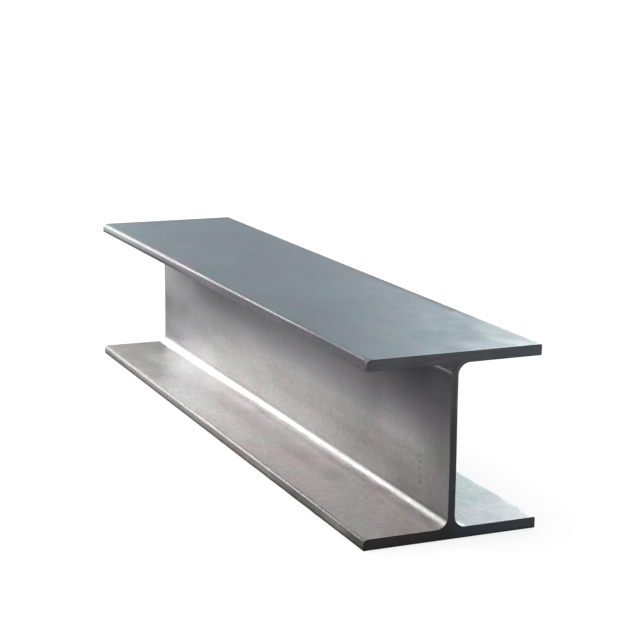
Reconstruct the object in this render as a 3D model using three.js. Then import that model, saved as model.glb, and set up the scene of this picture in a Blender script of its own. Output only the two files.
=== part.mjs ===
// A hot-rolled wide-flange H-beam with parallel flanges, sawn square at both ends.
//
// Units are millimetres. +X runs along the beam, +Y across the flanges and +Z up the web.
// The origin is the middle of the bottom flange's outer face.

import * as THREE from 'three';

// The rolled section: the 200 x 200 x 8 x 12 size of wide-flange beam.
const sectionDepth = 200;
const flangeWidth = 200;
const webThickness = 8;
const flangeThickness = 12;
const rootRadius = 13;
const toeRadius = 2;

// The length between the two sawn ends.
const beamLength = 935;

// Flat chords in each quarter-circle of the outline, which three.js counts in half steps.
const chordsPerQuarter = 16;

const quarterTurn = Math.PI / 2;

// The outline of the section, seen along the beam and centred on the middle of the web.
//
// The right-hand side is six quarter-circles, going up: two round the bottom flange's toe, the two
// root fillets that blend the web into the flanges, and two round the top flange's toe. Straight
// lines join them. The left-hand side is the same run, turned half a turn about the centre.
function sectionOutline() {
  const outline = new THREE.Shape();
  const outerFace = sectionDepth / 2;
  const innerFace = outerFace - flangeThickness;
  const toeCentre = flangeWidth / 2 - toeRadius;
  const rootCentre = webThickness / 2 + rootRadius;

  for (const side of [1, -1]) {
    const turn = side === 1 ? 0 : Math.PI;
    const quarter = (across, up, radius, from, to) => {
      outline.absarc(side * across, side * up, radius, turn + from, turn + to, to < from);
    };

    quarter(toeCentre, -outerFace + toeRadius, toeRadius, -quarterTurn, 0);
    quarter(toeCentre, -innerFace - toeRadius, toeRadius, 0, quarterTurn);
    quarter(rootCentre, -innerFace + rootRadius, rootRadius, -quarterTurn, -2 * quarterTurn);
    quarter(rootCentre, innerFace - rootRadius, rootRadius, 2 * quarterTurn, quarterTurn);
    quarter(toeCentre, innerFace + toeRadius, toeRadius, -quarterTurn, 0);
    quarter(toeCentre, outerFace - toeRadius, toeRadius, 0, quarterTurn);
  }
  return outline;
}

// Hot-rolled steel in its blue-grey mill scale.
function rolledSteel() {
  return new THREE.MeshStandardMaterial({ color: 0x7f8b93, roughness: 0.5, metalness: 0.8 });
}

// The section, drawn out along the beam: its width turns onto Y, its depth onto Z.
function hBeam() {
  const geometry = new THREE.ExtrudeGeometry(sectionOutline(), {
    depth: beamLength,
    curveSegments: chordsPerQuarter / 2,
    bevelEnabled: false,
  });
  const beam = new THREE.Mesh(geometry, rolledSteel());
  beam.name = 'h_beam';
  beam.rotation.set(quarterTurn, quarterTurn, 0);
  beam.position.set(-beamLength / 2, 0, sectionDepth / 2);
  return beam;
}

const group = new THREE.Group();
group.add(hBeam());

export default group;
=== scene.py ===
"""A short length of hot-rolled steel H-beam in smooth mill scale, sawn square at both ends.

The beam is one closed mesh that stands for the CAD section: the same flats, root fillets and toes,
with the unevenness that rolling, handling and sawing leave. Everything is in metres, in the CAD frame:
+X along the beam, +Y across the flanges, +Z up the web. Near means towards +X and far towards -X, and
the front is the -Y side, where the scale is the most worn and where its colours also carry painted
light and shade: shade under the top flange, and reflections and highlights on the web, the flange,
the toes and the root fillets.
"""

import math
from types import SimpleNamespace

import bpy
import numpy as np
from mathutils import Matrix, Vector, geometry, noise


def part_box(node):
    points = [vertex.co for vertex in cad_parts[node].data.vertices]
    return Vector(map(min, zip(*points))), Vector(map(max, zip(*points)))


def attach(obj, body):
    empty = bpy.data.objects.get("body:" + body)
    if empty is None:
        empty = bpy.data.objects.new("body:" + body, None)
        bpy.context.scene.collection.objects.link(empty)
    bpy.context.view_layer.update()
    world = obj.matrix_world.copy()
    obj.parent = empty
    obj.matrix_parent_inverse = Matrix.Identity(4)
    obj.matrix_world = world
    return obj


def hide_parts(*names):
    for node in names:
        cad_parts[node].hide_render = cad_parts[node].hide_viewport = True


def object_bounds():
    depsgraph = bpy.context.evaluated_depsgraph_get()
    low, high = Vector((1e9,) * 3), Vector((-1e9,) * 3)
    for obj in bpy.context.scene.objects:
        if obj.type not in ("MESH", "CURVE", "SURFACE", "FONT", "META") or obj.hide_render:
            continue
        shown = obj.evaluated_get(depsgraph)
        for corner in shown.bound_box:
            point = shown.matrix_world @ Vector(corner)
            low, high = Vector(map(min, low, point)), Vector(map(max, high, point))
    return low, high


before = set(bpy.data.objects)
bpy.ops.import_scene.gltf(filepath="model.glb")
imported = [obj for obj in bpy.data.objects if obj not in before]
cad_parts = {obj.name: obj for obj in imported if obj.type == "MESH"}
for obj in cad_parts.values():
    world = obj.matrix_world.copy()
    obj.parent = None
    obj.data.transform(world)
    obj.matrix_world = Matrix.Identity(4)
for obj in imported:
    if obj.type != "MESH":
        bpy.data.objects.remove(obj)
cad_low, cad_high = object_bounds()

MM = 0.001

# How far the rolled flanges spread past the section's nominal width on each side.
ROLLED_OVER = 0.5 * MM

# The rolled section. Its overall sizes come from the CAD node; these are the ones inside it.
BEAM_LOW, BEAM_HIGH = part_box("h_beam")
HALF_LENGTH = (BEAM_HIGH.x - BEAM_LOW.x) / 2
HALF_WIDTH = (BEAM_HIGH.y - BEAM_LOW.y) / 2 + ROLLED_OVER
HALF_DEPTH = (BEAM_HIGH.z - BEAM_LOW.z) / 2
MID_HEIGHT = (BEAM_HIGH.z + BEAM_LOW.z) / 2
HALF_WEB = 4 * MM
FLANGE_THICKNESS = 12 * MM
ROOT_RADIUS = 13 * MM
INNER_FACE = HALF_DEPTH - FLANGE_THICKNESS

# The centre of a root fillet, across from the web's middle and up from mid-height.
ROOT_ACROSS = HALF_WEB + ROOT_RADIUS
ROOT_UP = INNER_FACE - ROOT_RADIUS

# Toe roundings. The front toes have sharp lower corners and rolled-over upper edges, which are rounder
# at the far end.
CRISP_TOE = 1.4 * MM
FOOT_TOE = 1.0 * MM
NEAR_ROUND_TOE = 2.4 * MM
FAR_ROUND_TOE = 5.0 * MM

# The mesh: steps along the beam, and along the straight runs and the bends of its outline.
LENGTH_STEP = 4.6 * MM
TOE_STEPS = 6
FLANGE_STEPS = 20
WEB_STEPS = 38
OUTER_STEPS = 49
ROOT_CHORDS = 14
TOE_CHORDS = 8

# A sawn end: its broken edge, the rim inside that, the grid of points over its face and their distance
# from its edge, how far back the face lies, and how uneven it is.
END_BREAK = 0.5 * MM
BREAK_CHORDS = 2
END_RIM = 0.3 * MM
END_GRID = 2.2 * MM
END_MARGIN = 0.9 * MM
END_SINK = 0.02 * MM
END_WANDER = 0.12 * MM
END_WANDER_SIZE = (1, 0.035, 0.035)

# The relief of the rolled surface: how high its waves are, how large their features are along each axis,
# how far inside the section it lies, and how much of it is left at a sawn end and where it is whole.
LONG_WAVE = 0.10 * MM
LONG_WAVE_SIZE = (0.22, 0.07, 0.07)
RIPPLE = 0.045 * MM
RIPPLE_SIZE = (0.030, 0.018, 0.018)
TOE_WAVE_SIZE = (0.022, 0.05, 0.05)
RELIEF_DEPTH = 0.1 * MM
RELIEF_AT_END = 0.35
WHOLE_RELIEF = 2 * MM

# How far apart two seeds' patterns are taken from the noise.
SEED_STEP = 17.31

# How the surface is parted: how far in from a flange's edge its toe reaches, how far past a root fillet
# its turn still counts, how far from the web's middle the web fades out, and what counts as level with.
TOE_REACH = 6 * MM
ROOT_REACH = 4 * MM
WEB_FADE = (8 * MM, 5 * MM)
LEVEL_WITH = 1e-6

# How the section is off true: the slope and drop of the top flange, and the lean of the upper web.
FLANGE_SLOPE = 0.004
FLANGE_DROP = 0.25 * MM
WEB_LEAN = 0.65 * MM

# The knocked near corners of the front toes.
KNOCK_REACH = 7 * MM
TOP_KNOCK = 1.3 * MM
BOTTOM_KNOCK = 1.2 * MM


# ---------------------------------------------------------------- camera

CAMERA_PLACE = Vector((1.88715, -0.77207, 0.57611))
CAMERA_AZIMUTH = math.radians(66.392)
CAMERA_ELEVATION = math.radians(12.096)
CAMERA_ROLL = math.radians(0.7675)
CAMERA_LENS = 91.812
SENSOR_WIDTH = 36.0
CAMERA_REACH = 200.0


def make_camera():
    azimuth, elevation = CAMERA_AZIMUTH, CAMERA_ELEVATION
    back = Vector((
        math.sin(azimuth) * math.cos(elevation),
        -math.cos(azimuth) * math.cos(elevation),
        math.sin(elevation),
    ))
    level_right = Vector((0, 0, 1)).cross(back).normalized()
    level_up = back.cross(level_right)
    right = math.cos(CAMERA_ROLL) * level_right + math.sin(CAMERA_ROLL) * level_up
    up = back.cross(right)
    data = bpy.data.cameras.new("camera")
    data.sensor_width = SENSOR_WIDTH
    data.lens = CAMERA_LENS
    data.clip_end = CAMERA_REACH
    camera = bpy.data.objects.new("camera", data)
    camera.matrix_world = Matrix.Translation(CAMERA_PLACE) @ Matrix((right, up, back)).transposed().to_4x4()
    bpy.context.scene.collection.objects.link(camera)
    bpy.context.scene.camera = camera


# ---------------------------------------------------------------- curves and noise

def smooth(low, high, values):
    """0 below low, 1 above high, and an S-curve between them; low may be the larger."""
    t = np.clip((values - low) / (high - low), 0, 1)
    return t * t * (3 - 2 * t)


def ramp(low, high, values):
    """0 below low, 1 above high, and a straight line between them; low may be the larger."""
    return np.clip((values - low) / (high - low), 0, 1)


def window(start, full, fall, end, values):
    """0 below start, 1 from full to fall, 0 above end, and an S-curve on each side."""
    return smooth(start, full, values) * smooth(end, fall, values)


def blend(base, share, top):
    return base + share * (top - base)


def lightened(tone, *shares):
    """tone, made lighter by each share in turn, or darker where a share is below 0."""
    for share in shares:
        tone = tone * (1 + share)
    return tone


def noise_at(points, size, seed):
    """Perlin noise from about -1 to 1 at each row of points, with features of that size on each axis."""
    shifted = points / np.asarray(size, float) + seed * SEED_STEP
    return np.array([noise.noise(p) for p in shifted])


# ---------------------------------------------------------------- the section's outline

def outline(round_toe):
    """Points round the section and their outward normals, as (n, 2) arrays of (y, height above mid).

    They run counter-clockwise seen from +X. One side is six quarter-circles going up, as in the CAD
    section, and the other side is the same run turned half a turn. round_toe is the radius of the front
    toes' upper edges. It moves points, but changes neither their count nor which way they face.
    """
    quarter = math.pi / 2
    points, normals = [], []

    def straight_to(target, steps):
        start = points[-1][-1]
        along = np.linspace(0, 1, steps + 1)[1:-1, None]
        points.append(start + (target - start) * along)
        normals.append(np.tile(normals[-1][-1], (steps - 1, 1)))

    for side, radii in ((1, (CRISP_TOE,) * 4), (-1, (round_toe, FOOT_TOE, round_toe, FOOT_TOE))):
        low_out, low_in, high_in, high_out = radii
        turn = 0 if side > 0 else math.pi
        # Each bend: the straight's steps before it, its centre, radius, first and last quarter, chords.
        bends = (
            (OUTER_STEPS, HALF_WIDTH - low_out, -HALF_DEPTH + low_out, low_out, -1, 0, TOE_CHORDS),
            (TOE_STEPS, HALF_WIDTH - low_in, -INNER_FACE - low_in, low_in, 0, 1, TOE_CHORDS),
            (FLANGE_STEPS, ROOT_ACROSS, -ROOT_UP, ROOT_RADIUS, -1, -2, ROOT_CHORDS),
            (WEB_STEPS, ROOT_ACROSS, ROOT_UP, ROOT_RADIUS, 2, 1, ROOT_CHORDS),
            (FLANGE_STEPS, HALF_WIDTH - high_in, INNER_FACE + high_in, high_in, -1, 0, TOE_CHORDS),
            (TOE_STEPS, HALF_WIDTH - high_out, HALF_DEPTH - high_out, high_out, 0, 1, TOE_CHORDS),
        )
        for steps, across, up, radius, first, last, chords in bends:
            angles = turn + np.linspace(first, last, chords + 1) * quarter
            around = np.stack([np.cos(angles), np.sin(angles)], 1)
            bend = np.array([side * across, side * up]) + radius * around
            if points:
                straight_to(bend[0], steps)
            points.append(bend)
            normals.append(around if last > first else -around)
    straight_to(points[0][0], OUTER_STEPS)
    return np.concatenate(points), np.concatenate(normals)


def section_masks(ring, ring_normals):
    """What each point of the rolled surface belongs to, by name.

    Three are shares from 0 to 1. toe: the end of a flange. inner: a channel's inside, between the
    flanges. web: the web within it. Two are in degrees. lean: how far the surface leans out from level.
    turn: how far round a root fillet it is, from 0 at the web to 90 at the flange, and -90 elsewhere.
    """
    across, up = np.abs(ring[:, 0]), np.abs(ring[:, 1])
    between = up <= INNER_FACE + LEVEL_WITH
    by_toe = across > HALF_WIDTH - TOE_REACH
    facing_in = -ring_normals[:, 1] * np.sign(ring[:, 1])
    turn = np.degrees(np.arctan2(up - ROOT_UP, ROOT_ACROSS - across))
    in_root = (across < ROOT_ACROSS + ROOT_REACH) & (up > ROOT_UP - LEVEL_WITH) & between
    return {
        "toe": by_toe * smooth(0.05, 0.3, np.abs(ring_normals[:, 0])),
        "inner": np.where(by_toe, smooth(0.1, 0.5, facing_in), between),
        "web": smooth(*WEB_FADE, across) * between,
        "lean": np.degrees(np.arctan2(np.abs(ring_normals[:, 0]), ring_normals[:, 1])),
        "turn": np.where(in_root, turn, -90),
    }


# ---------------------------------------------------------------- relief

def rolled_relief(points, toe):
    """How far the rolled surface stands proud of the true section, in metres. toe is 1 on the toes.

    The toes are rougher than the rest, and the front ones most of all, towards the near end.
    """
    long_wave = LONG_WAVE * noise_at(points, LONG_WAVE_SIZE, 1)
    ripple = RIPPLE * noise_at(points, RIPPLE_SIZE, 2)
    front_wave = (0.12 + 0.22 * smooth(-0.1, 0.35, points[:, 0])) * MM
    toe_wave = np.where(points[:, 1] < 0, front_wave, 0.08 * MM) * noise_at(points, TOE_WAVE_SIZE, 3)
    return long_wave + ripple + toe * toe_wave - RELIEF_DEPTH


def tilted_flange(points):
    """How far the top flange stands off square, as a move up: its front toe droops, its other toe rises."""
    share = smooth(0.06, INNER_FACE, points[:, 2] - MID_HEIGHT)
    return share * (FLANGE_SLOPE * points[:, 1] - FLANGE_DROP)


def leaning_web(points):
    """How far the web stands off upright, as a move along Y: its upper half leans to the front."""
    return -WEB_LEAN * smooth(0.07, 0.15, points[:, 2]) * smooth(0.04, 0.01, np.abs(points[:, 1]))


def knocked_corner(points, height, depth):
    """A move inwards and down for the points round the near corner of the front toe at that height."""
    away = np.linalg.norm(points - np.array([HALF_LENGTH, -HALF_WIDTH, height]), axis=1)
    return smooth(KNOCK_REACH, 0, away)[:, None] * np.array([-depth, depth, -depth])


# ---------------------------------------------------------------- the scale's tones
#
# A tone is how light the scale is, in linear light. These functions take arrays of places: x along the
# beam from its middle, y across it from the web, and z up from its underside, all in metres. On the
# front the tones are partly the scale's own and partly painted light and shade: painted shade under the
# top flange and at the floor, and painted reflections and highlights on the web, the flange, the toes
# and the root fillets. The lighter and darker areas, partly worn, dull and dirty scale and partly
# painted light and shade, are shares by which they make it lighter, or darker where they are below 0.

def web_clouds(x, z):
    """The lighter and darker areas on the front of the web: partly worn and dull scale, partly painted
    reflection and shade.
    """
    far_half = 0.22 * window(-0.40, -0.33, -0.13, -0.02, x) * smooth(0.055, 0.09, z)
    far_half = far_half * (1 - 0.5 * smooth(0.100, 0.118, z) * smooth(-0.30, -0.25, x))
    cloud_start = -0.40 + 0.07 * smooth(0.08, 0.12, z)
    far_cloud = smooth(-0.03, 0.04, x - cloud_start) * smooth(0.06, -0.22, x) * smooth(0.045, 0.08, z)
    far_patch = 0.11 * window(-0.29, -0.25, -0.19, -0.15, x) * window(0.05, 0.06, 0.07, 0.08, z)
    middle_band = -0.18 * window(-0.06, 0.0, 0.27, 0.33, x) * window(0.045, 0.055, 0.07, 0.085, z)
    near_band = -0.08 * window(0.27, 0.31, 0.46, 0.48, x) * window(0.05, 0.058, 0.070, 0.080, z)
    near_patch = 0.09 * window(0.07, 0.13, 0.24, 0.30, x) * window(0.095, 0.11, 0.125, 0.14, z)
    near_cloud = 0.25 * window(0.28, 0.33, 0.37, 0.43, x) * window(0.070, 0.082, 0.105, 0.135, z)
    return far_half, -0.25 * far_cloud, far_patch, middle_band, near_band, near_patch, near_cloud


def web_foot_shade(x, z):
    """Painted shade on the front of the web: darker along its foot, more so near the end, and a little
    darker above it.
    """
    foot = 0.17 * window(-0.27, -0.22, -0.09, -0.03, x) + 0.21 * smooth(-0.12, -0.02, x)
    foot = foot + 0.07 * smooth(0.12, 0.38, x)
    near_foot = 0.20 * smooth(0.31, 0.37, x) * smooth(0.042, 0.026, z)
    near_foot = near_foot + 0.25 * smooth(0.26, 0.34, x) * smooth(0.024, 0.020, z)
    above_foot = 0.045 * smooth(0.04, 0.06, z)
    return -foot * smooth(0.065, 0.045, z), -near_foot, -above_foot


def web_tone(x, z):
    """The web at the front: dark under the top flange, painted shade on partly darker scale, and light
    towards its foot, a painted reflection on partly worn scale.
    """
    near = smooth(-0.05, HALF_LENGTH, x)
    far = smooth(-0.33, -HALF_LENGTH, x)
    tone = 0.05 + 0.12 * smooth(0.175, 0.125, z) + 0.20 * smooth(0.14, 0.06, z)
    tone = tone + 0.05 * smooth(0.06, 0.02, z)
    far_tone = 0.27 + 0.05 * smooth(0.085, 0.115, z) - 0.04 * window(0.05, 0.065, 0.08, 0.095, z)
    tone = blend(tone * (1 - 0.40 * near), far, far_tone)
    under_flange = 0.20 * near * smooth(0.15, 0.17, z)
    by_end = smooth(0.40, 0.44, x) * (0.62 * smooth(0.14, 0.165, z) - 0.15 * smooth(0.10, 0.08, z))
    by_end = by_end - 0.08 * smooth(0.43, 0.45, x) * window(0.05, 0.06, 0.10, 0.12, z)
    return lightened(tone, *web_clouds(x, z), *web_foot_shade(x, z), under_flange + by_end)


def flange_dullness_and_shade(x, y):
    """Darker areas inside the lower flange at the front, partly dull scale and partly painted shade and
    reflection, and one lighter patch between them, partly worn scale and partly a painted reflection.
    """
    far_toe = -0.24 * window(-0.43, -0.39, -0.33, -0.28, x) * smooth(-0.055, -0.075, y)
    far_wear_and_reflection = 0.12 * window(-0.40, -0.36, -0.27, -0.22, x) * window(-0.066, -0.056, -0.035, -0.022, y)
    toe_edge = -0.16 * window(-0.42, -0.39, -0.19, -0.13, x) * smooth(-0.092, -0.0965, y)
    far_root = -0.12 * window(-0.24, -0.21, -0.14, -0.11, x) * smooth(-0.038, -0.024, y)
    strip = 0.12 * window(-0.20, -0.12, -0.03, 0.05, x) + 0.24 * window(0.10, 0.18, 0.26, 0.30, x)
    strip = -strip * window(-0.062, -0.048, -0.034, -0.022, y)
    near_end = smooth(0.37, 0.44, x) * (0.06 - 0.10 * smooth(-0.070, -0.085, y))
    near_end = (near_end + 0.04 * smooth(0.44, 0.452, x)) * smooth(-0.03, -0.045, y)
    near_root = 0.11 * window(0.27, 0.31, 0.365, 0.385, x) * window(-0.050, -0.040, -0.026, -0.019, y)
    return far_toe, far_wear_and_reflection, toe_edge, far_root, strip, -near_end - near_root


def flange_tone(x, y):
    """The inside of the lower flange at the front, lightest along the toe, near the end and by the root
    fillet: partly the scale's tone, partly a painted reflection of the web and of the root's highlight.
    """
    tone = 0.615 - 0.03 * smooth(-0.05, HALF_LENGTH, x) - 0.26 * smooth(-0.33, -HALF_LENGTH, x)
    by_toe = 0.28 * smooth(-0.26, -0.17, x) * (1 - 0.6 * smooth(0.05, 0.2, x)) * smooth(-0.055, -0.085, y)
    by_root = 0.40 * smooth(0.05, 0.30, x) * smooth(-0.07, -0.035, y)
    by_root = by_root * (1 - 0.25 * smooth(-0.027, -0.018, y))
    outer_half = 0.17 * smooth(-0.17, -0.08, x) * smooth(-0.045, -0.062, y)
    at_root = window(-0.03, 0.03, 0.14, 0.20, x) + 1.6 * smooth(0.32, 0.37, x)
    at_root = 0.24 * at_root * smooth(-0.030, -0.020, y)
    return lightened(tone, by_toe + by_root, outer_half, at_root, *flange_dullness_and_shade(x, y))


def outer_tone(x, y, in_corner, back_rim):
    """The flanges' outer faces: dull along their far and back rims, lighter at the near back corner in a
    painted sheen, and light along the near arris, partly bare worn steel and partly a painted glint.
    """
    tone = 0.300 - 0.015 * smooth(0.10, 0.25, x) + 0.03 * smooth(-0.15, -0.45, x) * smooth(-0.02, -0.08, y)
    # Lighter near the end towards the back, and in the streak by the pale corner: a painted sheen.
    tone = tone + 0.05 * smooth(0.41, 0.455, x) * smooth(0.012, 0.040, y)
    streak = 0.09 * window(-0.008, 0.004, 0.015, 0.03, in_corner) * smooth(0.40, 0.44, x)
    far_rim = -0.13 * smooth(12 * MM, 4 * MM, x + HALF_LENGTH)
    near_arris = 0.25 * smooth(HALF_LENGTH - 5 * MM, HALF_LENGTH - 1.5 * MM, x) * smooth(-0.10, 0.0, y)
    return lightened(tone, streak, far_rim, -0.33 * back_rim, near_arris)


def over_edge(lean, brow, middle, brink, face):
    """Tones over a toe's rolled edge, by how many degrees its surface leans out from level.
    They are painted light and shade, with a painted highlight at the brink, where the edge rolls over.
    """
    tone = brow + (middle - brow) * ramp(22, 47, lean)
    tone = tone + (brink - middle) * ramp(47, 70, lean)
    return tone + (face - brink) * ramp(75, 92, lean)


def upper_toe_tone(x, z, lean):
    """The top flange's front toe: lighter along the far part, a painted reflection, and darker towards its
    lower corner there, a painted shade.
    """
    brow = 0.165 - 0.045 * window(-0.15, -0.08, 0.16, 0.20, x) + 0.10 * smooth(0.25, 0.46, x)
    middle = 0.235 - 0.065 * smooth(-0.05, 0.05, x) - 0.075 * smooth(0.22, 0.38, x)
    middle = middle + 0.03 * smooth(0.41, 0.46, x)
    brink = 0.36 - 0.075 * smooth(-0.38, -0.28, x) - 0.03 * smooth(-0.08, 0.02, x)
    brink = brink - 0.14 * smooth(0.17, 0.40, x) + 0.05 * window(0.10, 0.15, 0.28, 0.35, x)
    face = 0.136 + 0.07 * smooth(0.15, -0.10, x) + 0.155 * smooth(-0.12, -0.40, x)
    face = face - 0.018 * smooth(0.40, 0.46, x)
    above_foot = z - 2 * HALF_DEPTH + FLANGE_THICKNESS
    low_part = smooth(6.5 * MM, 1.0 * MM, above_foot) * smooth(0.05, -0.24, x)
    return over_edge(lean, brow, middle, brink, face) * (1 - 0.72 * low_part)


def lower_toe_tone(x, z, lean):
    """The bottom flange's front toe: a painted highlight along its edge, darker near the end, and black at
    the floor, a painted contact shadow.
    """
    brow = 0.122 + 0.04 * smooth(-0.20, -0.10, x) + 0.10 * smooth(-0.10, 0.02, x)
    brow = brow - 0.04 * smooth(0.12, 0.28, x)
    middle = 0.245 - 0.11 * smooth(0.28, 0.42, x) - 0.03 * smooth(0.41, 0.44, x)
    brink = 0.39 - 0.06 * smooth(-0.03, 0.05, x) - 0.08 * smooth(0.15, 0.30, x)
    brink = brink + 0.02 * smooth(0.38, 0.44, x)
    face = 0.215 + 0.04 * smooth(-0.39, -0.30, x) - 0.035 * smooth(-0.05, 0.06, x)
    face = face - 0.075 * smooth(0.17, 0.28, x) + 0.03 * smooth(0.33, 0.37, x)
    face = face - 0.12 * smooth(0.40, 0.45, x)
    return over_edge(lean, brow, middle, brink, face) * (0.20 + 0.80 * smooth(0.8 * MM, 4.6 * MM, z))


def root_shine(x, turn, low):
    """The strip along the front's root fillets, a painted highlight on partly burnished scale: how far it
    covers each place, and its tone.
    """
    lower = 0.42 - 0.07 * smooth(-0.05, 0.3, x) - 0.04 * smooth(0.37, 0.44, x)
    lower = lower + 0.02 * smooth(-0.15, -0.35, x) - 0.03 * smooth(-0.25, -0.35, x)
    lower = lower - 0.06 * smooth(-0.425, -0.455, x)
    strip = np.where(low, window(14, 31, 48, 72, turn), window(4, 11, 18, 30, turn))
    return strip, np.where(low, lower, 0.16)


def root_wear_and_highlight(x, turn):
    """The lighter and darker strips of the front's lower root fillet, by its turn from web to flange:
    partly worn and dull scale, partly the painted highlight's shape.
    """
    nearer = smooth(0.05, 0.28, x)
    wide = 0.46 * smooth(-0.10, -0.01, x) * (1 - nearer)
    narrow = 0.52 * nearer * (1 - 1.30 * smooth(0.30, 0.345, x)) + 0.13 * smooth(0.41, 0.445, x)
    by_web = 0.09 * smooth(-0.17, -0.22, x) + 0.10 * smooth(-0.36, -0.42, x)
    by_flange = -0.09 * smooth(-0.20, -0.27, x) - 0.13 * smooth(0.35, 0.39, x)
    # These strips are partly worn scale and partly the painted highlight.
    wear = wide * window(42, 57, 64, 86, turn) + narrow * window(42, 56, 61, 76, turn)
    wear = wear + 0.16 * smooth(0.33, 0.38, x) * window(43, 48, 52, 57, turn)
    return wear + by_web * window(-10, 8, 19, 28, turn) + by_flange * window(60, 68, 73, 82, turn)


# ---------------------------------------------------------------- the scale's colour

def scale_places(points, section):
    """Each point's place, and what it belongs to, by name: the masks in section, and these.

    front_inner, front_web, front_toe: those parts of the front. low: the lower half. front_low: the
    front's. lowness: from 0 at mid-height to 1 at the floor. back_rim, pale_corner: areas of the outer
    faces; pale_corner is a painted sheen at the near back corner. back_floor: the near part of the
    channels' floors, which shows at the back only, since the front has colours of its own; it is cooler
    and more varied. in_corner: how far along Y a point lies inside the slanted edge of the pale near
    corner, in metres.
    """
    x, y, z = points[:, 0], points[:, 1], points[:, 2] - BEAM_LOW.z
    front = smooth(2 * MM, -2 * MM, y)
    at = SimpleNamespace(x=x, y=y, z=z, front=front, **section)
    at.low = z < HALF_DEPTH
    at.lowness = smooth(HALF_DEPTH, 0.0, z)
    at.front_inner = at.inner * front
    at.front_web = at.web * front
    at.front_toe = at.toe * front
    at.front_low = at.low * front
    at.back_rim = smooth(HALF_WIDTH - 14 * MM, HALF_WIDTH - 2 * MM, y) * window(-0.05, 0.12, 0.28, 0.38, x)
    at.in_corner = y - 0.02 - 0.55 * (HALF_LENGTH - x)
    at.pale_corner = smooth(-0.02, 0.03, at.in_corner)
    at.back_floor = smooth(0.20, 0.36, x) * smooth(0.06, 0.036, z)
    return at


def scale_tone(at):
    """How light the scale is, from the outer faces inwards, and then the toes and the root fillets."""
    x, y, z = at.x, at.y, at.z
    tone = outer_tone(x, y, at.in_corner, at.back_rim)
    tone = blend(tone, at.inner, 0.34 + 0.10 * smooth(0.035, 0.015, z))
    # The underside of the top flange: painted shade, darkest by the web and lighter towards its toe.
    underside = 0.17 + 0.28 * smooth(-0.018, -0.040, y)
    tone = blend(tone, at.front_inner, np.where(at.low, flange_tone(x, y), underside))
    tone = blend(tone, at.front_web, web_tone(x, z))
    toe_tone = np.where(at.low, lower_toe_tone(x, z, at.lean), upper_toe_tone(x, z, at.lean))
    tone = blend(tone, at.front_toe, toe_tone)
    # The root fillets' strip: a painted highlight on partly burnished scale.
    strip, shine = root_shine(x, at.turn, at.low)
    tone = blend(tone, strip * at.front, shine)
    return lightened(tone, root_wear_and_highlight(x, at.turn) * at.front_low)


def scale_red(at):
    """The red in the scale, as a share of its green: little outside, and more inside the front channel,
    partly the scale's colour and partly painted light. The root fillet's painted highlight is made whiter,
    and the pale near back corner, a painted sheen, redder.
    """
    x, y, z = at.x, at.y, at.z
    near = smooth(-0.05, 0.3, x)
    red = 0.75 + 0.06 * at.back_rim + 0.03 * at.pale_corner
    red = blend(red, at.inner, 0.95 - 0.05 * smooth(0.035, 0.015, z) - 0.05 * at.back_floor)
    by_root = window(-0.030, -0.023, -0.018, -0.013, y) * smooth(0.45, 0.43, x)
    flange_red = 1.008 + 0.047 * smooth(-0.25, 0, x) + 0.022 * near
    flange_red = flange_red + smooth(0.30, 0.37, x) * (0.10 * by_root - 0.025)
    red = blend(red, at.front_inner, flange_red)
    web_red = 1.018 + 0.006 * smooth(-0.25, 0, x) - 0.014 * near * smooth(0.13, 0.09, z)
    red = blend(red, at.front_web, web_red)
    # A whiter painted highlight along the lower root fillet.
    whiter_root = window(30, 38, 60, 70, at.turn) * window(0.06, 0.18, 0.42, 0.445, x)
    red = red * (1 - 0.045 * whiter_root * at.front_low)
    toe_red = 1.01 + 0.02 * smooth(-0.30, -0.20, x) + 0.035 * smooth(-0.05, 0.05, x) * at.lowness
    return blend(red, at.front_toe, toe_red)


def scale_blue(at):
    """The blue in the scale, as a share of its green: much outside, and less inside the front channel,
    partly the scale's colour and partly painted light. The pale near back corner, a painted sheen, is less
    blue.
    """
    x, z = at.x, at.z
    blue = blend(1.175 - 0.11 * at.pale_corner, at.inner, 1.06 - 0.03 * at.back_floor)
    blue = blend(blue, at.front_inner, 0.985 - 0.018 * smooth(-0.05, 0.3, x))
    warm_foot = smooth(0.11, 0.05, z) * (1 - smooth(-0.15, -0.35, x))
    web_blue = 1.033 - 0.045 * warm_foot + 0.03 * smooth(0.10, 0.13, z)
    blue = blend(blue, at.front_web, web_blue)
    blue = blend(blue, at.front_toe, 1.02 + 0.07 * smooth(-0.30, -0.20, x))
    return blend(blue, at.front_toe * at.lowness, 0.99 - 0.02 * smooth(-0.05, 0.05, x))


# Marks on the front of the web: where along it and how high, their half-sizes, and what they multiply
# the tone, the red and the blue by.
STAINS = (
    (0.088, 0.128, 0.012, 0.006, 1.00, 1.16, 0.84),
    (0.377, 0.142, 0.012, 0.006, 0.90, 1.10, 0.94),
    (0.347, 0.089, 0.020, 0.007, 1.02, 0.95, 1.07),
    (0.443, 0.066, 0.011, 0.042, 1.02, 1.05, 0.96),
    (-0.110, 0.024, 0.036, 0.012, 1.00, 1.04, 1.00),
    (0.022, 0.039, 0.030, 0.012, 1.00, 0.97, 0.99),
)


def stained(at, tone, red, blue):
    """tone, red and blue with the marks on the web."""
    for along, up, half_along, half_up, lighter, redder, bluer in STAINS:
        away = np.hypot((at.x - along) / half_along, (at.z - up) / half_up)
        spot = at.front_web * smooth(1.0, 0.25, away)
        tone = lightened(tone, spot * (lighter - 1))
        red = lightened(red, spot * (redder - 1))
        blue = lightened(blue, spot * (bluer - 1))
    return tone, red, blue


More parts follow.
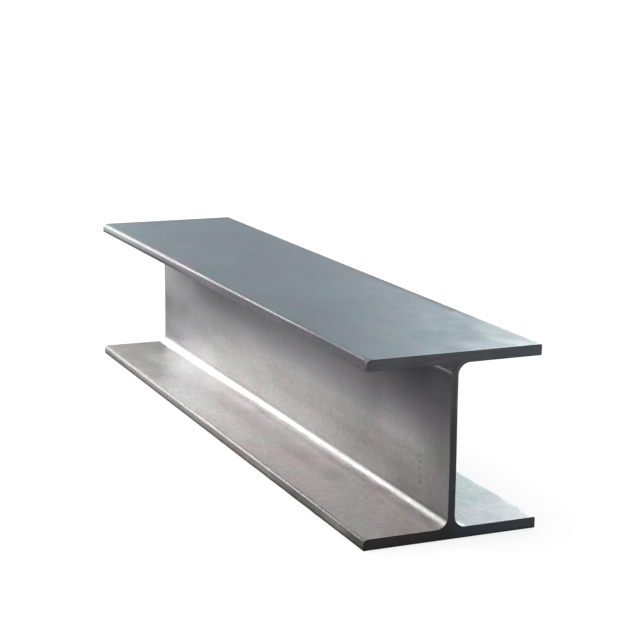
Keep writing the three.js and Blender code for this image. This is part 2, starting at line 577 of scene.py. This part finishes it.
def scale_colour(points, section):
    """The mill scale at each point: its tone, the red and the blue in it, how strong its stains and
    grain are, how strong its patches of hue are, and whether it is on the web."""
    at = scale_places(points, section)
    tone, red, blue = stained(at, scale_tone(at), scale_red(at), scale_blue(at))
    grain = blend(0.25, at.inner, 0.85 + 0.30 * smooth(0.11, 0.06, at.z))
    grain = blend(grain, at.front_toe, 1.5 + 0.6 * at.lowness)
    tint = blend(1.3, at.inner, 0.6 + 0.3 * at.back_floor)
    tint = blend(tint, at.front_inner, 0.25 + 0.5 * smooth(-0.25, 0.0, at.x))
    return {"tone": tone, "red": red, "blue": blue, "grain": grain, "tint": tint, "web": at.web}


def sawn_colour(points):
    """A sawn end at each point: its tone, and its hue, from 0 (cold) over 0.5 (neutral) to 1 (brown).

    It is darker towards the bottom and black along its lowest edge, a painted contact shadow, and lighter
    and colder along its top.
    The bottom flange's front part is brown.
    """
    y, z = points[:, 1], points[:, 2] - BEAM_LOW.z
    tone = 0.022 + 0.014 * smooth(0.012, 0.09, z) + 0.014 * smooth(0.10, 0.17, z)
    tone = tone + 0.032 * smooth(0.182, 0.192, z) + 0.014 * window(0.165, 0.175, 0.178, 0.184, z)
    lower = 0.022 * smooth(0.0, HALF_WIDTH, y) - 0.015 * smooth(0.02, -0.005, y)
    tone = tone + lower * smooth(0.03, 0.0, z)
    web_rims = 0.09 * smooth(0.5 * MM, 3.5 * MM, y) + 0.020 * smooth(-0.5 * MM, -2.5 * MM, y)
    tone = tone + web_rims * window(0.115, 0.145, 0.180, 0.190, z)
    # Black along the lowest edge: a painted contact shadow.
    tone = tone * (1 - 0.9 * smooth(3.2 * MM, 1.2 * MM, z))
    warmth = 0.5 - 0.5 * smooth(0.10, 0.06, z) - 0.21 * smooth(0.182, 0.190, z)
    warmth = warmth + smooth(0.02, -0.04, y) * smooth(0.03, 0.012, z)
    return {"sawn": tone, "warmth": warmth}


# ---------------------------------------------------------------- the beam's mesh

def inside_section(across, up, round_toe):
    """True where a point of the section's plane lies in the steel, END_MARGIN or more from its edge."""
    toe_room = END_MARGIN + np.where(across < 0, round_toe, CRISP_TOE)
    across, up = np.abs(across), np.abs(up)
    within_depth = up < HALF_DEPTH - END_MARGIN
    in_web = across < HALF_WEB - END_MARGIN
    in_flange = (up > INNER_FACE + END_MARGIN) & (across < HALF_WIDTH - toe_room)
    in_root = np.hypot(across - ROOT_ACROSS, up - ROOT_UP) > ROOT_RADIUS + END_MARGIN
    in_root = in_root & (across < ROOT_ACROSS) & (up > ROOT_UP)
    return within_depth & (in_web | in_flange | in_root)


def end_face(ring, round_toe):
    """Triangles over a sawn end: points inside the outline, and triangles over outline and inner points."""
    y = np.arange(-HALF_WIDTH, HALF_WIDTH, END_GRID)
    z = np.arange(-HALF_DEPTH, HALF_DEPTH, END_GRID)
    grid_y, grid_z = np.meshgrid(y, z, indexing="ij")
    grid_y = grid_y + (np.arange(len(z)) % 2) * END_GRID / 2
    keep = inside_section(grid_y, grid_z, round_toe)
    inner = np.stack([grid_y[keep], grid_z[keep]], 1)
    points = [Vector(p) for p in np.concatenate([ring, inner])]
    count = len(ring)
    edges = [(i, (i + 1) % count) for i in range(count)]
    inside_only = 1
    merged_within = 1e-7
    made = geometry.delaunay_2d_cdt(points, edges, [], inside_only, merged_within)
    assert len(made[0]) == len(points), "the end face kept all its points"
    return inner, [tuple(f) for f in made[2]]


def sawn_end(sign, ring, ring_normals, round_toe):
    """Points and triangles of a sawn end: a ring just inside the broken edge, and what it encloses."""
    cap_ring = ring - ring_normals * (END_BREAK + END_RIM)
    inner, faces = end_face(cap_ring, round_toe)
    flat = np.concatenate([cap_ring, inner])
    points = np.column_stack([np.zeros(len(flat)), flat[:, 0], flat[:, 1] + MID_HEIGHT])
    wander = END_WANDER * noise_at(points, END_WANDER_SIZE, 5 + sign)
    wander[:len(ring)] = 0
    points[:, 0] = sign * (HALF_LENGTH - END_SINK + np.minimum(wander, 0))
    return points, faces


def beam_stations():
    """Places along the beam, how far in its outline is there, and the share of the far end's shape in it.

    The broken edge of each sawn end takes BREAK_CHORDS + 1 of them.
    """
    steps = round(2 * (HALF_LENGTH - 2 * END_BREAK) / LENGTH_STEP)
    body = np.linspace(-HALF_LENGTH + 2 * END_BREAK, HALF_LENGTH - 2 * END_BREAK, steps + 1)
    angles = np.linspace(0, math.pi / 2, BREAK_CHORDS + 1)
    break_x = HALF_LENGTH - END_BREAK + END_BREAK * np.sin(angles)
    break_inset = END_BREAK * (1 - np.cos(angles))
    places = np.concatenate([-break_x[::-1], body, break_x])
    insets = np.concatenate([break_inset[::-1], np.zeros(len(body)), break_inset])
    return places, insets, smooth(0.38, -0.35, places)


def rolled_side(stations, insets, rings, ring_normals, toe):
    """The points of the rolled surface, one ring after another, with their relief."""
    rows = []
    for x, inset, ring in zip(stations, insets, rings):
        flat = ring - ring_normals * inset
        rows.append(np.column_stack([np.full(len(ring), x), flat[:, 0], flat[:, 1] + MID_HEIGHT]))
    side = np.concatenate(rows)
    normals = np.tile(np.column_stack([np.zeros(len(ring_normals)), ring_normals]), (len(stations), 1))
    whole = smooth(HALF_LENGTH, HALF_LENGTH - WHOLE_RELIEF, np.abs(side[:, 0]))
    relief = rolled_relief(side, toe) * blend(RELIEF_AT_END, whole, 1)
    return side + normals * relief[:, None]


def beam_faces(ring_count, count, far_points, far_faces, near_faces):
    """All faces of the beam, and whether each is sawn.

    ring_count rings of count points come first, then far_points of the far end, then the near end's.
    """
    faces, sawn = [], []
    pairs = [(k, (k + 1) % count) for k in range(count)]
    for station in range(ring_count - 1):
        far, near = station * count, (station + 1) * count
        on_break = station < BREAK_CHORDS or station >= ring_count - 1 - BREAK_CHORDS
        for here, after in pairs:
            faces.append((far + here, far + after, near + after, near + here))
            sawn.append(on_break)
    last = (ring_count - 1) * count
    far_cap = ring_count * count
    near_cap = far_cap + far_points
    for here, after in pairs:
        faces.append((after, here, far_cap + here, far_cap + after))
        faces.append((last + here, last + after, near_cap + after, near_cap + here))
    faces += [(far_cap + c, far_cap + b, far_cap + a) for a, b, c in far_faces]
    faces += [(near_cap + a, near_cap + b, near_cap + c) for a, b, c in near_faces]
    sawn += [True] * (len(faces) - len(sawn))
    return faces, sawn


def beam_shape():
    """The beam's points and faces, whether each face is sawn, and the colours at each point, by name."""
    near_ring, ring_normals = outline(NEAR_ROUND_TOE)
    far_ring, _ = outline(FAR_ROUND_TOE)
    stations, insets, far_shares = beam_stations()
    rings = [near_ring + share * (far_ring - near_ring) for share in far_shares]
    section = section_masks(np.concatenate(rings), np.tile(ring_normals, (len(stations), 1)))

    side = rolled_side(stations, insets, rings, ring_normals, section["toe"])
    far_cap, far_faces = sawn_end(-1, rings[0], ring_normals, FAR_ROUND_TOE)
    near_cap, near_faces = sawn_end(1, rings[-1], ring_normals, NEAR_ROUND_TOE)
    verts = np.concatenate([side, far_cap, near_cap])
    verts[:, 2] += tilted_flange(verts)
    verts[:, 1] += leaning_web(verts)
    verts += knocked_corner(verts, 2 * HALF_DEPTH, TOP_KNOCK)
    verts += knocked_corner(verts, FLANGE_THICKNESS, BOTTOM_KNOCK)
    faces, sawn = beam_faces(len(stations), len(near_ring), len(far_cap), far_faces, near_faces)

    # The scale's colours don't show on the sawn ends, so they are 1 there.
    on_caps = np.ones(len(verts) - len(side))
    scale = scale_colour(side, section)
    colours = {name: np.concatenate([values, on_caps]) for name, values in scale.items()}
    return verts, faces, sawn, colours | sawn_colour(verts)


def make_beam():
    verts, faces, sawn, colours = beam_shape()
    mesh = bpy.data.meshes.new("rolled_beam")
    mesh.from_pydata(verts.tolist(), [], faces)
    mesh.materials.append(rolled_material())
    mesh.materials.append(sawn_material())
    mesh.polygons.foreach_set("material_index", np.array(sawn, np.int32))
    mesh.polygons.foreach_set("use_smooth", np.ones(len(faces), bool))
    for name, values in colours.items():
        attribute = mesh.attributes.new(name, "FLOAT", "POINT")
        attribute.data.foreach_set("value", values.astype(np.float32))
    mesh.update()
    beam = bpy.data.objects.new("rolled_beam", mesh)
    bpy.context.scene.collection.objects.link(beam)
    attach(beam, "root")
    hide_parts("h_beam")


# ---------------------------------------------------------------- materials

class Tree:
    """A material's or world's node tree, with short ways to add nodes and join them."""

    def __init__(self, owner):
        owner.use_nodes = True
        self.nodes = owner.node_tree.nodes
        self.links = owner.node_tree.links
        self.nodes.clear()

    def put(self, socket, value):
        """Links the socket to value where that is another socket, and otherwise sets it to value."""
        if isinstance(value, bpy.types.NodeSocket):
            self.links.new(value, socket)
        else:
            socket.default_value = value

    def add(self, kind, inputs=None, **settings):
        """A node of that kind; inputs maps a socket's name or number to a value or to another socket."""
        node = self.nodes.new(kind)
        for name, value in settings.items():
            setattr(node, name, value)
        for key, value in (inputs or {}).items():
            self.put(node.inputs[key], value)
        return node

    def attribute(self, name):
        return self.add("ShaderNodeAttribute", attribute_name=name).outputs["Fac"]

    def math(self, operation, a, b=0.0):
        return self.add("ShaderNodeMath", {0: a, 1: b}, operation=operation).outputs[0]

    def vector(self, operation, a, b=(0.0, 0.0, 0.0)):
        """The node itself, since its result is its Vector or its Value, by the operation."""
        return self.add("ShaderNodeVectorMath", {0: a, 1: b}, operation=operation)

    def spread(self, value, low, high, to_low=0.0, to_high=1.0):
        """value from low..high to to_low..to_high, clamped, along an S-curve."""
        sockets = {"Value": value, "From Min": low, "From Max": high, "To Min": to_low, "To Max": to_high}
        return self.add("ShaderNodeMapRange", sockets, interpolation_type="SMOOTHSTEP").outputs["Result"]

    def vary(self, pattern, to_low, to_high, margin=0.3):
        """A noise pattern, which stays mostly between margin and 1 - margin, spread to to_low..to_high."""
        return self.spread(pattern, margin, 1 - margin, to_low, to_high)

    def mix(self, share, a, b):
        """The colour a where share is 0, and b where it is 1."""
        node = self.add("ShaderNodeMix", data_type="RGBA")
        for number, value in ((0, share), (6, a), (7, b)):
            self.put(node.inputs[number], value)
        return node.outputs[2]

    def noise(self, place, scale=1.0, detail=2.0, roughness=0.5):
        sockets = {"Vector": place, "Scale": scale, "Detail": detail, "Roughness": roughness}
        return self.add("ShaderNodeTexNoise", sockets).outputs["Fac"]

    def spot(self, place, centre, half_sizes, darkness):
        """1 away from a soft oval spot, and 1 - darkness within it."""
        offset = self.vector("SUBTRACT", place, centre).outputs["Vector"]
        scaled = self.vector("DIVIDE", offset, half_sizes).outputs["Vector"]
        away = self.vector("LENGTH", scaled).outputs["Value"]
        return self.spread(away, 0.3, 1.0, 1 - darkness, 1.0)

    def stretched(self, place, x, y, z, shift=0.0):
        """place, scaled along each axis and shifted, so that noise on it is drawn out along an axis."""
        sockets = {"Vector": place, "Scale": (x, y, z), "Location": (shift, shift, shift)}
        return self.add("ShaderNodeMapping", sockets).outputs["Vector"]


# Small marks: where they are, their half-sizes, and how much they darken the scale (below 0 where they
# lighten it). The first five are a faint column of dots on the web. The last two, at the near corner of
# the top flange's front toe, are a painted glint on partly worn steel and a darker patch below it.
SPOTS = (
    ((0.4005, -HALF_WEB, 0.0716), (0.0050, 0.003, 0.0022), 0.20),
    ((0.4009, -HALF_WEB, 0.0653), (0.0050, 0.003, 0.0024), 0.36),
    ((0.4008, -HALF_WEB, 0.0589), (0.0050, 0.003, 0.0024), 0.34),
    ((0.4015, -HALF_WEB, 0.0504), (0.0050, 0.003, 0.0024), 0.34),
    ((0.4022, -HALF_WEB, 0.0432), (0.0050, 0.003, 0.0024), 0.34),
    ((0.2745, -0.0149, BEAM_HIGH.z), (0.0040, 0.0030, 0.002), 0.15),
    ((0.2888, 0.0247, BEAM_HIGH.z), (0.0040, 0.0030, 0.002), 0.15),
    ((0.3705, -0.0258, BEAM_HIGH.z), (0.0035, 0.0025, 0.002), 0.18),
    ((0.4242, 0.0266, BEAM_HIGH.z), (0.0080, 0.0060, 0.002), 0.12),
    ((-0.278, 0.0090, BEAM_HIGH.z), (0.026, 0.0045, 0.002), -0.10),
    ((-0.200, 0.0131, BEAM_HIGH.z), (0.048, 0.0024, 0.002), -0.12),
    ((-0.178, 0.0034, BEAM_HIGH.z), (0.042, 0.0022, 0.002), -0.09),
    ((0.105, -0.0800, FLANGE_THICKNESS), (0.030, 0.0090, 0.003), 0.13),
    ((0.4655, -0.0990, 0.1965), (0.0040, 0.004, 0.0030), -1.2),
    ((0.4650, -0.0995, 0.1890), (0.0050, 0.004, 0.0035), 0.45),
)


def scale_patterns(tree, place):
    """The patterns of noise that the mill scale is made of, by name."""
    return SimpleNamespace(
        clouds=tree.noise(tree.stretched(place, 9, 14, 14), detail=3.0, roughness=0.55),
        tint=tree.noise(tree.stretched(place, 14, 20, 20, 3.1)),
        blush=tree.noise(tree.stretched(place, 10, 15, 15, 7.7), detail=1.0),
        stains=tree.noise(tree.stretched(place, 26, 40, 40, 1.3), detail=4.0, roughness=0.62),
        pebbles=tree.noise(place, scale=210.0, detail=1.0),
        grain=tree.noise(place, scale=420.0, roughness=0.6),
        streaks=tree.noise(tree.stretched(place, 140, 140, 16, 5.2)),
    )


def scale_value(tree, place, patterns):
    """How light the scale is: its tone, clouded, stained and grained, with SPOTS and streaks up the web."""
    shade = tree.vary(patterns.clouds, 0.94, 1.06)
    depth = tree.attribute("grain")
    for pattern, strength in ((patterns.stains, 0.42), (patterns.pebbles, 0.46), (patterns.grain, 0.22)):
        part = tree.math("MULTIPLY", tree.math("SUBTRACT", pattern, 0.5), strength)
        shade = tree.math("ADD", shade, tree.math("MULTIPLY", part, depth))
    part = tree.math("MULTIPLY", tree.math("SUBTRACT", patterns.streaks, 0.5), tree.attribute("web"))
    shade = tree.math("ADD", shade, tree.math("MULTIPLY", part, 0.05))
    value = tree.math("MULTIPLY", shade, tree.attribute("tone"))
    for spot in SPOTS:
        value = tree.math("MULTIPLY", value, tree.spot(place, *spot))
    return value


def scale_hue(tree, patterns):
    """The scale's hue: its red and blue as shares of its green, in patches that are redder or less red."""
    tint = tree.vary(patterns.tint, -0.06, 0.06, margin=0.35)
    patches = tree.math("ADD", tint, tree.vary(patterns.blush, -0.02, 0.02, margin=0.35))
    redder = tree.math("MULTIPLY", patches, tree.attribute("tint"))
    red = tree.math("MULTIPLY", tree.attribute("red"), tree.math("ADD", redder, 1.0))
    bluer = tree.math("ADD", tree.math("MULTIPLY", redder, 0.3), 1.0)
    blue = tree.math("MULTIPLY", tree.attribute("blue"), bluer)
    return tree.add("ShaderNodeCombineXYZ", {0: red, 1: 1.0, 2: blue}).outputs[0]


def rolled_material():
    """Mill scale: cool blue-grey outside, warmer inside the front channel, stained and finely pitted, its
    tones partly painted light and shade.
    """
    material = bpy.data.materials.new("mill_scale")
    tree = Tree(material)
    place = tree.add("ShaderNodeTexCoord").outputs["Object"]
    patterns = scale_patterns(tree, place)
    hue = scale_hue(tree, patterns)
    value = scale_value(tree, place, patterns)
    roughness = tree.vary(patterns.clouds, 0.32, 0.40)
    roughness = tree.math("ADD", roughness, tree.vary(patterns.stains, -0.04, 0.04))

    # Where the tone is dark, from dark scale and painted shade, the scale is dull even at a glancing angle;
    # where it is light, from wear and painted light, it shines there as bare metal does.
    edge_tint = tree.spread(tree.attribute("tone"), 0.06, 0.42, 0.45, 1.0)

    fine = tree.math("MULTIPLY", patterns.grain, 0.5)
    relief = tree.math("ADD", fine, tree.math("MULTIPLY", patterns.pebbles, 2.0))
    bump = tree.add("ShaderNodeBump", {"Height": relief, "Strength": 0.6, "Distance": 0.08 * MM})
    shader = tree.add("ShaderNodeBsdfPrincipled", {
        "Base Color": tree.vector("MULTIPLY", hue, value).outputs[0],
        "Metallic": 0.85,
        "Specular Tint": edge_tint,
        "Roughness": roughness,
        "Normal": bump.outputs["Normal"],
    })
    tree.add("ShaderNodeOutputMaterial", {"Surface": shader.outputs["BSDF"]})
    return material


# The hues of a sawn end, which its tone multiplies.
COLD = (0.84, 1.0, 1.34, 1)
NEUTRAL = (1.0, 1.0, 1.03, 1)
BROWN = (1.26, 0.99, 0.95, 1)


def sawn_material():
    """A sawn end: fine parallel saw marks in charcoal-grey steel, dark partly from oxide and partly as
    painted shade.
    """
    material = bpy.data.materials.new("sawn_end")
    tree = Tree(material)
    place = tree.add("ShaderNodeTexCoord").outputs["Object"]
    marks = tree.noise(tree.stretched(place, 20, 45, 900, 0.4), roughness=0.6)
    clouds = tree.noise(place, scale=32.0, detail=3.0, roughness=0.55)
    grain = tree.noise(place, scale=700.0, roughness=0.6)
    warmth = tree.attribute("warmth")
    hue = tree.mix(tree.spread(warmth, 0.0, 0.5), COLD, NEUTRAL)
    hue = tree.mix(tree.spread(warmth, 0.5, 1.0), hue, BROWN)
    value = tree.math("ADD", tree.vary(marks, 0.84, 1.14), tree.vary(grain, -0.10, 0.10))
    value = tree.math("MULTIPLY", value, tree.vary(clouds, 0.8, 1.2))
    value = tree.math("MULTIPLY", value, tree.attribute("sawn"))
    bump = tree.add("ShaderNodeBump", {"Height": marks, "Strength": 0.35, "Distance": 0.06 * MM})
    shader = tree.add("ShaderNodeBsdfPrincipled", {
        "Base Color": tree.vector("MULTIPLY", hue, value).outputs[0],
        "Metallic": 0.5,
        "Roughness": tree.vary(clouds, 0.50, 0.62),
        "Normal": bump.outputs["Normal"],
    })
    tree.add("ShaderNodeOutputMaterial", {"Surface": shader.outputs["BSDF"]})
    return material


# ---------------------------------------------------------------- studio

FLOOR_SIZE = 120.0
FLOOR_COLOUR = (0.40, 0.40, 0.40, 1)

# The floor also glows, for the camera and in reflections: how strongly round the beam and far off, and
# between which distances that changes.
FLOOR_GLOW = (0.76, 0.84)
FLOOR_GLOW_REACH = (1.2, 6.0)


def make_floor():
    """A plain pale floor that keeps the beam's soft shadow."""
    half = FLOOR_SIZE / 2
    corners = ((-half, -half), (half, -half), (half, half), (-half, half))
    mesh = bpy.data.meshes.new("floor")
    mesh.from_pydata([(x, y, cad_low.z) for x, y in corners], [], [(0, 1, 2, 3)])
    material = bpy.data.materials.new("white_floor")
    tree = Tree(material)
    rays = tree.add("ShaderNodeLightPath").outputs
    seen = tree.math("MAXIMUM", rays["Is Camera Ray"], rays["Is Glossy Ray"])
    seen = tree.math("MAXIMUM", seen, rays["Is Transmission Ray"])
    place = tree.add("ShaderNodeTexCoord").outputs["Object"]
    away = tree.vector("LENGTH", place).outputs["Value"]
    glow = tree.spread(away, *FLOOR_GLOW_REACH, *FLOOR_GLOW)
    matt = tree.add("ShaderNodeBsdfDiffuse", {"Color": FLOOR_COLOUR})
    lift = tree.add("ShaderNodeEmission", {"Strength": tree.math("MULTIPLY", seen, glow)})
    both = tree.add("ShaderNodeAddShader", {0: matt.outputs[0], 1: lift.outputs[0]})
    tree.add("ShaderNodeOutputMaterial", {"Surface": both.outputs[0]})
    mesh.materials.append(material)
    floor = bpy.data.objects.new("floor", mesh)
    bpy.context.scene.collection.objects.link(floor)


# The studio's light, with its angles in degrees. It is white round the horizon and turns grey over the
# heights of WALL_RISE. A soft glow stands on one side: it starts and ends over the azimuths of GLOW_RISE
# and GLOW_FALL, measured as soft_box's are, and ends upwards over the heights of GLOW_CEILING.
WALL_LIGHT = 0.5
WALL_RISE = (5, 10)
GLOW_LIGHT = 4.6
GLOW_RISE = (23.5, 36)
GLOW_FALL = (44, 75)
GLOW_CEILING = (14, 28)


def make_world():
    """A grey studio with a white band at the horizon, into which the floor fades, and a soft glow."""
    world = bpy.data.worlds.new("studio")
    bpy.context.scene.world = world
    tree = Tree(world)
    direction = tree.add("ShaderNodeTexCoord").outputs["Generated"]
    parts = tree.add("ShaderNodeSeparateXYZ", {"Vector": direction}).outputs
    azimuth = tree.math("ARCTAN2", parts["Y"], tree.math("MULTIPLY", parts["X"], -1.0))
    elevation = tree.math("ARCSINE", parts["Z"])
    rise = tree.spread(azimuth, *map(math.radians, GLOW_RISE))
    fall = tree.spread(azimuth, *map(math.radians, GLOW_FALL), 1.0, 0.0)
    ceiling = tree.spread(elevation, *map(math.radians, GLOW_CEILING), 1.0, 0.0)
    glow = tree.math("MULTIPLY", tree.math("MULTIPLY", rise, fall), ceiling)
    wall = tree.math("ADD", tree.math("MULTIPLY", glow, GLOW_LIGHT), WALL_LIGHT)
    above = tree.spread(elevation, *map(math.radians, WALL_RISE))
    strength = tree.math("ADD", tree.math("MULTIPLY", tree.math("SUBTRACT", wall, 1.0), above), 1.0)
    background = tree.add("ShaderNodeBackground", {"Color": (1, 1, 1, 1), "Strength": strength})
    tree.add("ShaderNodeOutputWorld", {"Surface": background.outputs[0]})


def soft_box(name, azimuth, elevation, distance, width, height, power):
    """A soft area lamp aimed at the beam. azimuth is measured from -X towards +Y, in degrees."""
    azimuth, elevation = math.radians(azimuth), math.radians(elevation)
    towards = Vector((
        -math.cos(azimuth) * math.cos(elevation),
        math.sin(azimuth) * math.cos(elevation),
        math.sin(elevation),
    ))
    data = bpy.data.lights.new(name, "AREA")
    data.shape = "RECTANGLE"
    data.size, data.size_y = width, height
    data.energy = power
    lamp = bpy.data.objects.new(name, data)
    lamp.location = Vector((0, 0, MID_HEIGHT)) + towards * distance
    lamp.rotation_euler = (-towards).to_track_quat("-Z", "Y").to_euler()
    lamp.visible_camera = False
    bpy.context.scene.collection.objects.link(lamp)


make_camera()
make_beam()
make_floor()
make_world()
soft_box("low_box", azimuth=-16, elevation=19, distance=5.0, width=4.4, height=2.0, power=118)
soft_box("top_box", azimuth=-60, elevation=70, distance=4.0, width=3.0, height=3.0, power=35)
bpy.context.scene.view_settings.view_transform = "Standard"
